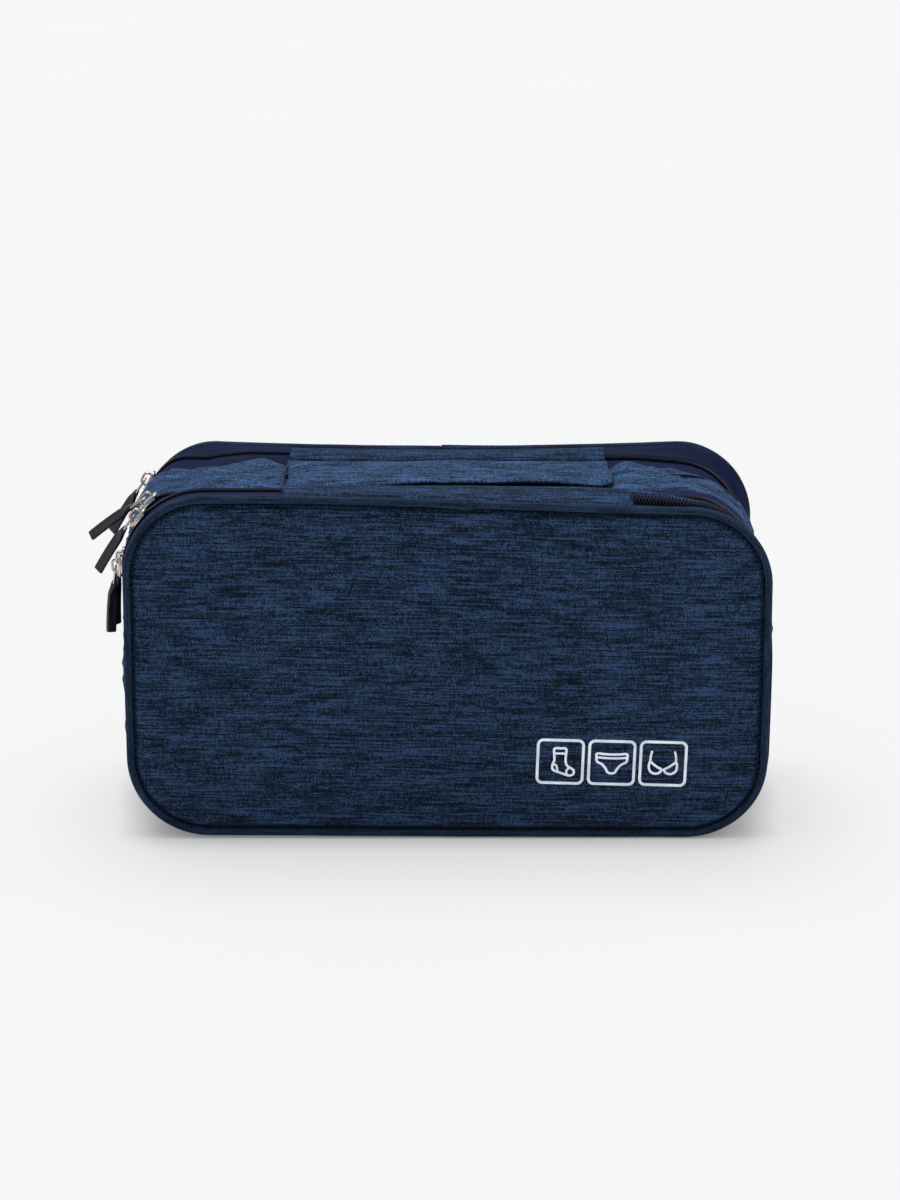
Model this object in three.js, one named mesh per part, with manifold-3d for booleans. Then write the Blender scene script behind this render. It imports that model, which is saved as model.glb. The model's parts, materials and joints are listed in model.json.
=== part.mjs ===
// A soft travel organizer for underwear and socks: a fabric gusset with a carry strap, closed at the front by a lid
// and a thin middle leaf, and at the back by a second lid. Three two-way coil zips run round the left side, the
// bottom and the right side, and fabric strips along the top edge are the hinges.
//
// Millimetres. X is the width, -Y is the front, +Z is up. The origin is the middle of the footprint, on the ground.
import * as THREE from "three";
import { mergeVertices } from "three/addons/utils/BufferGeometryUtils.js";
import Module from "manifold-3d";

// ---------------------------------------------------------------- driving dimensions
const HALF_WIDTH = 152;
const HEIGHT = 168;
const HALF_DEPTH = 60;
const CORNER = 40; // outside corner radius of the gusset and of the zips
const ARC_STEPS = 4; // half the number of straight pieces in one corner

const LID_INSET = 2; // the lids are this much smaller all round than the gusset
const BINDING = 5; // thickness of the piping that binds each lid
const FRONT_ZIP_Y = -47; // planes where the two halves of each zip meet
const MIDDLE_ZIP_Y = -29.5;
const REAR_ZIP_Y = 47;
const LEAF_Y = [-39.6, -36.8]; // front and back face of the bound edge of the leaf
const GUSSET_Y = [-22, 39];
const PARTITION_Y = [5, 7];

// Where the zips stop and the hinge strips begin, along the top edge.
const FRONT_STRIP_X = [-73, 90];
const BODY_STRIP_X = [-77, 80];

const GAP = 0.3; // clearance between pieces that are only sewn together
const PARTING = 0.5; // half of the gap between the two halves of a zip
const CHAIN_HALF = 2.5; // width of one half of the coil chain
const CHAIN_INSET = [1.2, 2.8]; // how far the coil and the tape lie below the outside of the loop
const TAPE_INSET = [3.0, 3.6];

const SLIDER = { length: 11, halfWidth: 3.4, outer: [-0.5, 0.7], inner: [-5.2, -4.3] };
const CROWN = { halfLength: 3.6, halfWidth: 1.1, top: 4.3, wall: 1.2 };
const PIVOT_HEIGHT = 1.95; // pull pivot above the outside of the loop
const LINK = { length: 9.5, halfWidth: 2.3, wire: 1.0 };
const TAB = { start: 7.2, length: 25, halfWidth: 3.0, thickness: 2.2 };

const DEG = Math.PI / 180;

// ---------------------------------------------------------------- materials
const finish = (color, roughness, metalness = 0) => ({ color, roughness, metalness });
const HEATHER = finish(0x24395c, 0.9);
const LINING = finish(0x1f2846, 0.8);
const TAPE = finish(0x232a4a, 0.75);
const COIL = finish(0x0d1018, 0.5);
const FOAM = finish(0xd8d6d0, 0.95);
const MESH = finish(0x18203a, 0.85);
const METAL = finish(0xc9c4bd, 0.28, 1);
const RUBBER = finish(0x1c1d24, 0.6);

const bag = new THREE.Group();

function addPiece(name, geometry, look, parent = bag) {
  const mesh = new THREE.Mesh(geometry, new THREE.MeshStandardMaterial(look));
  mesh.name = name;
  parent.add(mesh);
  return mesh;
}

// ---------------------------------------------------------------- loops round the bag
// The outline of the bag in the XZ plane, moved in by inset. It runs from leftX on the top edge down the left side,
// along the bottom and up to rightX on the top edge.
function outline(inset, leftX, rightX) {
  const radius = CORNER - inset;
  const x = HALF_WIDTH - CORNER;
  const low = CORNER;
  const high = HEIGHT - CORNER;
  const path = new THREE.Path();
  path.moveTo(leftX, HEIGHT - inset);
  path.lineTo(-x, HEIGHT - inset);
  path.absarc(-x, high, radius, 90 * DEG, 180 * DEG);
  path.absarc(-x, low, radius, 180 * DEG, 270 * DEG);
  path.absarc(x, low, radius, 270 * DEG, 360 * DEG);
  path.absarc(x, high, radius, 0, 90 * DEG);
  path.lineTo(rightX, HEIGHT - inset);
  return path.getPoints(ARC_STEPS);
}

// A shape in the XZ plane given a thickness from yFront to yBack.
function slab(shape, [yFront, yBack], bevel = 0) {
  const geometry = new THREE.ExtrudeGeometry(shape, {
    depth: yBack - yFront - 2 * bevel,
    bevelEnabled: bevel > 0,
    bevelThickness: bevel,
    bevelSize: bevel,
    bevelOffset: -bevel,
    bevelSegments: 1,
  });
  return geometry.rotateX(90 * DEG).translate(0, yBack - bevel, 0);
}

// A panel that fills the outline.
const panel = (inset, yRange) => slab(new THREE.Shape(outline(inset, 0, 0)), yRange);

// A band all the way round.
function ring([outer, inner], yRange, bevel = 0) {
  const shape = new THREE.Shape(outline(outer, 0, 0));
  shape.holes.push(new THREE.Path(outline(inner, 0, 0)));
  return slab(shape, yRange, bevel);
}

// A band that is open along the top edge, between leftX and rightX.
function openBand([outer, inner], [leftX, rightX], yRange) {
  const points = [...outline(outer, leftX, rightX), ...outline(inner, leftX, rightX).reverse()];
  return slab(new THREE.Shape(points), yRange);
}

// A box from its lowest and highest corner.
function block([x0, x1], [y0, y1], [z0, z1]) {
  const geometry = new THREE.BoxGeometry(x1 - x0, y1 - y0, z1 - z0);
  return geometry.translate((x0 + x1) / 2, (y0 + y1) / 2, (z0 + z1) / 2);
}

// ---------------------------------------------------------------- joins and cuts
const wasm = await Module();
wasm.setup();

function toSolid(geometry) {
  const bare = geometry.clone();
  bare.deleteAttribute("normal");
  bare.deleteAttribute("uv");
  const merged = mergeVertices(bare, 1e-4);
  return new wasm.Manifold(
    new wasm.Mesh({
      numProp: 3,
      vertProperties: merged.attributes.position.array,
      triVerts: new Uint32Array(merged.index.array),
    }),
  );
}

function toGeometry(solid) {
  const { vertProperties, triVerts } = solid.getMesh();
  const geometry = new THREE.BufferGeometry();
  geometry.setAttribute("position", new THREE.BufferAttribute(vertProperties, 3));
  geometry.setIndex(new THREE.BufferAttribute(triVerts, 1));
  return geometry;
}

// ---------------------------------------------------------------- zips
// One half of a zip: a tape and its half of the coil chain. side is -1 for the half in front of the meeting plane.
function zipHalf(name, planeY, side, farY, stripX) {
  const nearY = planeY + side * PARTING;
  const ends = [stripX[0] - GAP, stripX[1] + GAP];
  const between = (a, b) => [Math.min(a, b), Math.max(a, b)];
  addPiece(`${name}_tape`, openBand(TAPE_INSET, ends, between(nearY, farY)), TAPE);
  addPiece(`${name}_coil`, openBand(CHAIN_INSET, ends, between(nearY, nearY + side * CHAIN_HALF)), COIL);
}

// ---------------------------------------------------------------- lids
// A lid is a padded panel in a piped edge, with an elasticated mesh pocket inside. sign is -1 for the front.
function lid(name, sign) {
  const layer = (outer, inner) => (sign < 0 ? [-outer, -inner] : [inner, outer]);
  const inner = LID_INSET + BINDING;
  const panelInset = inner + 0.4;
  addPiece(`${name}_binding`, ring([LID_INSET, inner], layer(HALF_DEPTH, HALF_DEPTH - BINDING), 1.4), HEATHER);
  addPiece(`${name}_cover`, panel(panelInset, layer(59.4, 58.4)), HEATHER);
  addPiece(`${name}_foam`, panel(panelInset, layer(58.2, 55.4)), FOAM);
  addPiece(`${name}_lining`, panel(panelInset, layer(55.2, 54.6)), LINING);

  const pocketTop = 104;
  const pocketInset = inner + 5;
  const pocket = slab(lowerPart(pocketInset, pocketTop), layer(54.3, 53.9));
  addPiece(`${name}_mesh_pocket`, pocket, MESH);
  const elasticHalf = HALF_WIDTH - pocketInset;
  const elastic = block([-elasticHalf, elasticHalf], layer(54.4, 53.4), [pocketTop + GAP, pocketTop + 8]);
  addPiece(`${name}_pocket_elastic`, elastic, TAPE);
}

// The part of the outline below a height.
function lowerPart(inset, top) {
  const points = outline(inset, 0, 0).filter((p) => p.y < top - 1 && p.y < HEIGHT / 2);
  const x = HALF_WIDTH - inset;
  return new THREE.Shape([new THREE.Vector2(-x, top), ...points, new THREE.Vector2(x, top)]);
}

function strip(name, [x0, x1], yRange) {
  const z = [HEIGHT - 4, HEIGHT - 3.2];
  addPiece(name, block([x0, x1], yRange, z), HEATHER);
}

// ---------------------------------------------------------------- the gusset and what is sewn inside it
function gusset() {
  const ends = [BODY_STRIP_X[0] - GAP, BODY_STRIP_X[1] + GAP];
  addPiece("gusset_wall", openBand([0, 2], ends, GUSSET_Y), HEATHER);
  addPiece("gusset_lining", openBand([2.3, 2.9], ends, [GUSSET_Y[0] + GAP, GUSSET_Y[1] - GAP]), LINING);
  addPiece("gusset_top_panel", block(BODY_STRIP_X, GUSSET_Y, [HEIGHT - 6.4, HEIGHT - 4.6]), HEATHER);
  addPiece("partition_panel", panel(7, PARTITION_Y), LINING);
}

// Padded dividers that stand in the middle compartment, with hook-and-loop ends.
function dividers() {
  const y = [-34.5, PARTITION_Y[0] - GAP];
  const thickness = 2;
  const middle = HEIGHT / 2;
  const reach = HALF_WIDTH - 4;
  addPiece("divider_long", block([-reach, reach], y, [middle - thickness / 2, middle + thickness / 2]), LINING);
  const lower = [4, middle - thickness / 2 - GAP];
  const upper = [middle + thickness / 2 + GAP, HEIGHT - 10];
  for (const [side, x] of [["left", -49], ["right", 49]]) {
    const across = [x - thickness / 2, x + thickness / 2];
    addPiece(`divider_${side}_lower`, block(across, y, lower), LINING);
    addPiece(`divider_${side}_upper`, block(across, y, upper), LINING);
  }
}

// The elastic strap that holds clothes in the rear compartment.
function rearStrap() {
  const reach = HALF_WIDTH - 4;
  addPiece("rear_elastic_strap", block([-reach, reach], [30, 31], [72, 97]), TAPE);
}

// The carry strap lies flat on the top panel, its ends a little lower than its middle.
function handle() {
  const [x0, x1] = [BODY_STRIP_X[0] + 1.5, BODY_STRIP_X[1] - 1.5];
  const ramp = 9;
  const thickness = 2.6;
  const low = HEIGHT - 4.3;
  const high = HEIGHT - 3.1;
  const edge = [[x0, low], [x0 + ramp, high], [x1 - ramp, high], [x1, low]];
  const points = [
    ...edge.map(([x, z]) => new THREE.Vector2(x, z)),
    ...edge.reverse().map(([x, z]) => new THREE.Vector2(x, z + thickness)),
  ];
  addPiece("handle_strap", slab(new THREE.Shape(points), [-16, 14]), HEATHER);
}

// ---------------------------------------------------------------- sliders and pulls
// In a slider's own frame X runs along the track, Z points out of the bag, and Z 0 is the outside of the loop.
function sliderGeometry() {
  const half = SLIDER.length / 2;
  const wide = [-SLIDER.halfWidth, SLIDER.halfWidth];
  const plateX = [-half, half];
  const outer = toSolid(block(plateX, wide, SLIDER.outer));
  const inner = toSolid(block([-half + 1.5, half - 1.5], wide, SLIDER.inner));
  const web = toSolid(block([half - 4.5, half - 1.8], [-0.2, 0.2], [SLIDER.inner[1] - 0.2, SLIDER.outer[0] + 0.2]));
  return toGeometry(outer.add(inner).add(web).add(toSolid(crownGeometry())));
}

// The arch on the slider that the pull hangs from.
function crownGeometry() {
  const { halfLength: a, halfWidth, top, wall } = CROWN;
  const foot = SLIDER.outer[1] - 0.2;
  const points = [
    [-a, foot], [-a + wall, foot], [-a + wall, top - wall - 0.6], [-a + wall + 0.6, top - wall],
    [a - wall - 0.6, top - wall], [a - wall, top - wall - 0.6], [a - wall, foot], [a, foot],
    [a, top - 1.2], [a - 1.2, top], [-a + 1.2, top], [-a, top - 1.2],
  ];
  const shape = new THREE.Shape(points.map(([x, z]) => new THREE.Vector2(x, z)));
  return slab(shape, [-halfWidth, halfWidth]);
}

// In a pull's own frame X runs from the pivot to the free end of the tab, and the pivot is the Y axis.
function linkGeometry() {
  const { length, halfWidth, wire } = LINK;
  const loop = (inset) => {
    const radius = halfWidth - inset;
    const path = new THREE.Path();
    const start = -wire / 2 + halfWidth;
    path.absarc(start, 0, radius, 90 * DEG, 270 * DEG);
    path.absarc(length - halfWidth, 0, radius, 270 * DEG, 450 * DEG);
    return path.getPoints(ARC_STEPS);
  };
  const shape = new THREE.Shape(loop(0));
  shape.holes.push(new THREE.Path(loop(wire)));
  const geometry = new THREE.ExtrudeGeometry(shape, { depth: wire, bevelEnabled: false });
  return geometry.translate(0, 0, -wire / 2);
}

// A moulded rubber tab with a socket that holds the end of the link.
function tabGeometry() {
  const { start, length, halfWidth, thickness } = TAB;
  const bevel = 0.4;
  const x0 = start + bevel;
  const x1 = start + length - bevel;
  const y = halfWidth - bevel;
  const chamfer = 1.6;
  const points = [
    [x0, -y + chamfer], [x0 + chamfer, -y], [x1 - chamfer, -y], [x1, -y + chamfer],
    [x1, y - chamfer], [x1 - chamfer, y], [x0 + chamfer, y], [x0, y - chamfer],
  ];
  const shape = new THREE.Shape(points.map(([x, z]) => new THREE.Vector2(x, z)));
  const body = new THREE.ExtrudeGeometry(shape, {
    depth: thickness - 2 * bevel,
    bevelThickness: bevel,
    bevelSize: bevel,
    bevelSegments: 1,
  });
  body.translate(0, 0, -thickness / 2 + bevel);
  const socketHalf = LINK.halfWidth + GAP;
  const socket = block(
    [start - 1, LINK.length + GAP],
    [-socketHalf, socketHalf],
    [-LINK.wire / 2 - 0.25, LINK.wire / 2 + 0.25],
  );
  return toGeometry(toSolid(body).subtract(toSolid(socket)));
}

// A slider on the left-hand top corner (angle above the corner's start) or on the straight left side (z).
// lean is the angle of the hanging pull below the horizontal.
function sliderWithPull(zip, place, planeY, { angle = 0, z = HEIGHT - CORNER, lean }) {
  const centre = new THREE.Vector3(-HALF_WIDTH + CORNER, planeY, angle ? HEIGHT - CORNER : z);
  const outward = new THREE.Vector3(-Math.cos(angle * DEG), 0, Math.sin(angle * DEG));

  const slider = new THREE.Group();
  slider.position.copy(centre).addScaledVector(outward, CORNER);
  slider.rotation.y = (angle - 90) * DEG;
  addPiece(`${zip}_slider_${place}`, sliderGeometry(), METAL, slider);
  bag.add(slider);

  const pull = new THREE.Group();
  pull.position.copy(centre).addScaledVector(outward, CORNER + PIVOT_HEIGHT);
  pull.rotation.y = (180 - lean) * DEG;
  addPiece(`${zip}_pull_link_${place}`, linkGeometry(), METAL, pull);
  addPiece(`${zip}_pull_tab_${place}`, tabGeometry(), RUBBER, pull);
  bag.add(pull);
}

// ---------------------------------------------------------------- the whole bag
lid("front", -1);
lid("rear", 1);

zipHalf("front_zip_lid", FRONT_ZIP_Y, -1, -HALF_DEPTH + BINDING + 0.2, FRONT_STRIP_X);
zipHalf("front_zip_leaf", FRONT_ZIP_Y, 1, LEAF_Y[0] - 0.2, FRONT_STRIP_X);
zipHalf("middle_zip_leaf", MIDDLE_ZIP_Y, -1, LEAF_Y[1] + 0.2, BODY_STRIP_X);
zipHalf("middle_zip_body", MIDDLE_ZIP_Y, 1, GUSSET_Y[0] - 0.2, BODY_STRIP_X);
zipHalf("rear_zip_body", REAR_ZIP_Y, -1, GUSSET_Y[1] + 0.2, BODY_STRIP_X);
zipHalf("rear_zip_lid", REAR_ZIP_Y, 1, HALF_DEPTH - BINDING - 0.2, BODY_STRIP_X);

addPiece("leaf_edge", ring([1.5, 4], LEAF_Y), HEATHER);
addPiece("leaf_panel", panel(4.4, [LEAF_Y[0] + 0.2, LEAF_Y[1] - 0.2]), LINING);

strip("front_hinge_strip", FRONT_STRIP_X, [-HALF_DEPTH + BINDING + 0.2, LEAF_Y[0] - 0.2]);
strip("middle_hinge_strip", BODY_STRIP_X, [LEAF_Y[1] + 0.2, GUSSET_Y[0] - 0.2]);
strip("rear_hinge_strip", BODY_STRIP_X, [GUSSET_Y[1] + 0.2, HALF_DEPTH - BINDING - 0.2]);

gusset();
dividers();
rearStrap();
handle();

sliderWithPull("front", "upper", FRONT_ZIP_Y, { angle: 39, lean: 54 });
sliderWithPull("front", "lower", FRONT_ZIP_Y, { z: 130, lean: 82 });
sliderWithPull("middle", "upper", MIDDLE_ZIP_Y, { angle: 46, lean: 33 });
sliderWithPull("middle", "lower", MIDDLE_ZIP_Y, { z: 129, lean: 84 });
sliderWithPull("rear", "upper", REAR_ZIP_Y, { angle: 30, lean: 55 });
sliderWithPull("rear", "lower", REAR_ZIP_Y, { z: 128, lean: 85 });

export default bag;
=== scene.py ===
"""Looks of the soft travel organizer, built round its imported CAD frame.
All lengths are millimetres until a mesh is made. X is the width, -Y the front, +Z up."""
import json
import math

import bmesh
import bpy
import numpy as np
from mathutils import Matrix, Vector
from mathutils.bvhtree import BVHTree


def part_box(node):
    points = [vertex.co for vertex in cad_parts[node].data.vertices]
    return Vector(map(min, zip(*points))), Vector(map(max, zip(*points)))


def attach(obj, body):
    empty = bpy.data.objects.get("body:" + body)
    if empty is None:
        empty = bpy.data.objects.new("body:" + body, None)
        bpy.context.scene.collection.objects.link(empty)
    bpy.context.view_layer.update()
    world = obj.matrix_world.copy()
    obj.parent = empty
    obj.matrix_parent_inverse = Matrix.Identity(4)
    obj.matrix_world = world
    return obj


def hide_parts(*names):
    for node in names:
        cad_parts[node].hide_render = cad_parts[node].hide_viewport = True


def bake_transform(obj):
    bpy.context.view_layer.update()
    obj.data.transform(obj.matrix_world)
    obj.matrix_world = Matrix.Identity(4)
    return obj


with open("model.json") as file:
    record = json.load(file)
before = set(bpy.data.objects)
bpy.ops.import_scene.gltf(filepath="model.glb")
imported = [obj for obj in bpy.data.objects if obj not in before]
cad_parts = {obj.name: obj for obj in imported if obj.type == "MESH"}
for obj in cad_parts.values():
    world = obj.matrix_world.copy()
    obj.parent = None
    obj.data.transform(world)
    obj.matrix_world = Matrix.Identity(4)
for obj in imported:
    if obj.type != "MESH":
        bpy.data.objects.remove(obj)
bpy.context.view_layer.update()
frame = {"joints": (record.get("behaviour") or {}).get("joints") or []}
MM = 0.001


# ---------------------------------------------------------------- places taken from the frame
def box_mm(node):
    low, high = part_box(node)
    return np.array(low) / MM, np.array(high) / MM


JOINTS = {joint["name"]: joint for joint in frame["joints"]}


def joint_mm(name):
    return np.array(JOINTS[name]["pos_m"]) / MM


GUSSET_LOW, GUSSET_HIGH = box_mm("gusset_wall")
HALF_WIDTH = GUSSET_HIGH[0]
HEIGHT = GUSSET_HIGH[2]
GUSSET_Y = (GUSSET_LOW[1], GUSSET_HIGH[1])
ARC_X = joint_mm("front_upper_slider_travel")[0]
CORNER = HALF_WIDTH + ARC_X
FRONT_ZIP_Y = joint_mm("front_lid_hinge")[1]
MIDDLE_ZIP_Y = joint_mm("middle_leaf_hinge")[1]
REAR_ZIP_Y = joint_mm("rear_lid_hinge")[1]
LID_INSET = HALF_WIDTH - box_mm("front_binding")[1][0]
LID_DEPTH = box_mm("rear_binding")[1][1]
BINDING = box_mm("rear_binding")[1][1] - box_mm("rear_binding")[0][1]
LEAF_Y = (box_mm("leaf_edge")[0][1], box_mm("leaf_edge")[1][1])
FRONT_STRIP_SHIFT = 4.2  # the sewn front strip lies this much to the left of the CAD's
BODY_STRIP_TRIM = 3.4  # the other two end this much sooner at the right
FRONT_STRIP = [corner[0] - FRONT_STRIP_SHIFT for corner in box_mm("front_hinge_strip")]
BODY_STRIP = (box_mm("rear_hinge_strip")[0][0], box_mm("rear_hinge_strip")[1][0] - BODY_STRIP_TRIM)


def smooth(t):
    t = np.clip(t, 0, 1)
    return t * t * (3 - 2 * t)


def between(value, low, high):
    return smooth((value - low) / (high - low))


# ---------------------------------------------------------------- softness shared by every cloth piece
FRONT_DROP = 6.0  # the front lid's top edge falls this much towards the right
REAR_SAG = 2.6  # the rear lid's top edge is this much lower in the middle
LEFT_BULGE, RIGHT_BULGE = 3.0, 1.5  # how far the filled ends stand out
FRONT_SLUMP = 1.5  # the front lid's bottom edge settles this much at the right


def soften(points):
    """Moves ideal points so that the filled bag leans and sags, neighbouring pieces alike."""
    out = np.array(points, float)
    x, y, z = out.T
    rise = np.clip(z / HEIGHT, 0, 1)
    front = 1 - between(y, -56, -36)
    drop = FRONT_DROP * between(x, -95, 150) * front
    rear = between(y, 15, 55)
    sag = (REAR_SAG * np.clip(1 - (x / 120) ** 2, 0, 1) + 0.5) * rear * between(x, -140, -110)
    out[:, 2] -= (drop + sag) * rise
    slump = FRONT_SLUMP * (0.45 + 0.55 * between(x, -130, 40)) * (1 - between(y, -55, -48))
    out[:, 2] -= slump * (1 - between(z, 6, 90)) * between(z, 0.2, 1.8)
    # The lower sliders run straight down beside the zips' planes.
    beside = np.min([np.abs(y - zip_y) for zip_y in (FRONT_ZIP_Y, MIDDLE_ZIP_Y, REAR_ZIP_Y)], axis=0)
    straight = (1 - between(beside, 4.5, 14)) * between(z, 18, 42)
    low_left = np.where(x < 0, (1 - between(z, 68, 110)) * (1 - straight), 1)
    depth = np.clip(1 - np.abs(y / LID_DEPTH) ** 6, 0, 1)
    side = between(np.abs(x), 90, HALF_WIDTH - 10)
    bulge = np.where(x < 0, LEFT_BULGE, RIGHT_BULGE) * np.sin(np.pi * rise) * depth * side * low_left
    out[:, 0] += np.sign(x) * bulge
    return out


# ---------------------------------------------------------------- meshes
def link(data):
    made = bpy.data.objects.new(data.name, data)
    bpy.context.scene.collection.objects.link(made)
    return made


def mesh_object(name, points, faces, corner_uvs=None, warp=True):
    """A mesh from millimetre points. corner_uvs holds one (u, v) in millimetres for every face corner."""
    points = soften(points) if warp else np.asarray(points, float)
    mesh = bpy.data.meshes.new(name)
    mesh.from_pydata((points * MM).tolist(), [], faces)
    if corner_uvs is not None:
        layer = mesh.uv_layers.new(name="cloth")
        layer.data.foreach_set("uv", (np.asarray(corner_uvs, float) * MM).astype(np.float32).ravel())
    outward = bmesh.new()
    outward.from_mesh(mesh)
    bmesh.ops.recalc_face_normals(outward, faces=outward.faces)
    outward.to_mesh(mesh)
    outward.free()
    mesh.polygons.foreach_set("use_smooth", [True] * len(mesh.polygons))
    mesh.validate()
    mesh.update()
    return link(mesh)


def finish_piece(piece, material, body, *replaced):
    """Gives a piece its material and slot, the body it rides on and the CAD nodes it stands for."""
    piece.data.materials.append(material)
    if body:
        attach(piece, body)
    if replaced:
        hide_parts(*replaced)


def track(x_start, x_end, step=4.0, arc_step=3.0):
    """The gusset's outline in the XZ plane, from the top edge at x_start, down the left side, along the
    bottom and up to the top edge at x_end: its points, their outward directions, the distance along it."""
    cx, high = HALF_WIDTH - CORNER, HEIGHT - CORNER
    turns = math.ceil(CORNER * math.pi / 2 / arc_step)
    places, outs = [], []
    at, out = np.array([x_start, HEIGHT]), np.array([0.0, 1.0])
    centres = ((-cx, high), (-cx, CORNER), (cx, CORNER), (cx, high), None)
    for start_deg, centre in zip((90, 180, 270, 0, 90), centres):
        end = centre + CORNER * out if centre else np.array([x_end, HEIGHT])
        count = max(1, math.ceil(math.dist(at, end) / step))
        places += [at + (end - at) * i / count for i in range(count)]
        outs += [out] * count
        if centre:
            angle = np.radians(start_deg + 90 * np.arange(turns) / turns)
            arc = np.stack([np.cos(angle), np.sin(angle)], -1)
            places += list(centre + CORNER * arc)
            outs += list(arc)
            out = np.array([-out[1], out[0]])
            at = centre + CORNER * out
    places, outs = np.array(places + [end]), np.array(outs + [out])
    run = np.concatenate([[0], np.cumsum(np.linalg.norm(np.diff(places, axis=0), axis=1))])
    return places, outs, run


def on_track(way, at):
    """x and z on the outline at a distance along it, and the outward direction there."""
    places, outs, run = way
    return [np.interp(at, run, column) for column in (*places.T, *outs.T)]


def sweep_points(way, sections):
    """sections is (stations, corners, 2): how far out from the outline, and y."""
    places, outs = way[:2]
    out, y = sections[..., 0], sections[..., 1]
    x = places[:, 0, None] + outs[:, 0, None] * out
    z = places[:, 1, None] + outs[:, 1, None] * out
    return np.stack([x, y, z], -1)


def quads(ids):
    """The faces between neighbouring rows and columns of a grid of point numbers."""
    return np.stack([ids[:-1, :-1], ids[:-1, 1:], ids[1:, 1:], ids[1:, :-1]], -1).reshape(-1, 4)


def sweep(name, way, sections):
    """A closed section carried along the outline, given for each station as (corners, 2)."""
    stations, corners = sections.shape[:2]
    looped = np.concatenate([sections[0], sections[0][:1]])
    around = np.concatenate([[0], np.cumsum(np.linalg.norm(np.diff(looped, axis=0), axis=1))])
    ids = np.arange(stations * corners).reshape(stations, corners)
    sides = quads(np.concatenate([ids, ids[:, :1]], 1))
    u0, u1 = [np.broadcast_to(u[:, None], (stations - 1, corners)) for u in (way[2][:-1], way[2][1:])]
    v0, v1 = [np.broadcast_to(v, u0.shape) for v in (around[:-1], around[1:])]
    uvs = np.stack([u0, v0, u0, v1, u1, v1, u1, v0], -1).reshape(-1, 2)
    faces = sides.tolist() + [ids[0, ::-1].tolist(), ids[-1].tolist()]
    points = sweep_points(way, sections).reshape(-1, 3)
    return mesh_object(name, points, faces, np.concatenate([uvs, np.zeros((2 * corners, 2))]))


def squircle(count, power, other=None):
    """The cosine and sine of equal turns, pushed out towards a rounded square."""
    turn = np.linspace(0, 2 * np.pi, count, endpoint=False)
    c, s = np.cos(turn), np.sin(turn)
    return np.sign(c) * np.abs(c) ** (2 / power), np.sign(s) * np.abs(s) ** (2 / (other or power))


def rounded_section(half_out, half_y, corners, power):
    c, s = squircle(corners, power)
    return np.stack([half_out * c, half_y * s], -1)


def grid_solid(name, front, back, uv_grid):
    """A closed padded sheet from two equal grids of points, (rows, columns, 3), joined round their edges."""
    rows, columns = front.shape[:2]
    count = rows * columns
    grid = np.arange(count).reshape(rows, columns)
    sheet = quads(grid)
    rim = np.concatenate([grid[0, :-1], grid[:-1, -1], grid[-1, :0:-1], grid[:0:-1, 0]])
    ahead = np.roll(rim, -1)
    sides = np.stack([ahead, rim, rim + count, ahead + count], -1)
    faces = np.concatenate([sheet, sheet[:, ::-1] + count, sides])
    points = np.concatenate([front.reshape(-1, 3), back.reshape(-1, 3)])
    return mesh_object(name, points, faces.tolist(), uv_grid.reshape(-1, 2)[faces.ravel() % count])


def tangents(path, closed):
    if closed:
        along = np.roll(path, -1, 0) - np.roll(path, 1, 0)
    else:
        along = np.vstack([path[1:], path[-1:]]) - np.vstack([path[:1], path[:-1]])
    return along / np.linalg.norm(along, axis=1)[:, None]


class Shells:
    """Closed shells gathered into one mesh."""

    def __init__(self):
        self.points, self.faces = [], []

    def rings(self, rings, closed=False):
        """A tube through equal rings of points, with flat ends or joined to itself."""
        base, size, count = len(self.points), len(rings[0]), len(rings)
        for ring in rings:
            self.points += [tuple(p) for p in ring]
        for i in range(count if closed else count - 1):
            for j in range(size):
                a, b = i * size + j, i * size + (j + 1) % size
                shift = ((i + 1) % count - i) * size
                self.faces.append(tuple(base + k for k in (a, b, b + shift, a + shift)))
        if not closed:
            self.faces.append(tuple(base + j for j in range(size))[::-1])
            self.faces.append(tuple(base + (count - 1) * size + j for j in range(size)))

    def plate(self, outline, low, high, bevel):
        """An upright slab with that outline and eased edges."""
        outline = np.array(outline, float)
        centre = outline.mean(0)
        shrink = 1 - bevel / np.abs(outline - centre).max()
        rings = []
        for z, scale in ((low, shrink), (low + bevel, 1), (high - bevel, 1), (high, shrink)):
            shape = centre + (outline - centre) * scale
            rings.append(np.column_stack([shape, np.full(len(shape), z)]))
        self.rings(rings)

    def tube(self, path, normals, half_a, half_b, closed=False, sides=10, power=2.0):
        """A bar along a path. half_a is its half size along the normals, half_b across them."""
        path, normals = np.array(path, float), np.array(normals, float)
        across = np.cross(tangents(path, closed), normals)
        c, s = [turn[:, None] for turn in squircle(sides, power)]
        self.rings(path[:, None] + half_a * c * normals[:, None] + half_b * s * across[:, None], closed)

    def make(self, name, matrix):
        points = np.array(self.points, float)
        rotation, move = np.array(matrix.to_3x3()), np.array(matrix.translation)
        return mesh_object(name, points @ rotation.T + move, self.faces, warp=False)


def ripple(x, z, seed, size):
    """Slow waves, the same each run: a few sines with directions and phases drawn from the seed."""
    draw = np.random.default_rng(seed)
    total = np.zeros(np.broadcast(x, z).shape)
    for _ in range(7):
        angle, phase = draw.uniform(0, 2 * np.pi, 2)
        length = size * draw.uniform(0.6, 1.7)
        total += np.sin((x * np.cos(angle) + z * np.sin(angle)) * 2 * np.pi / length + phase)
    return total / 3.5


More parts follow.
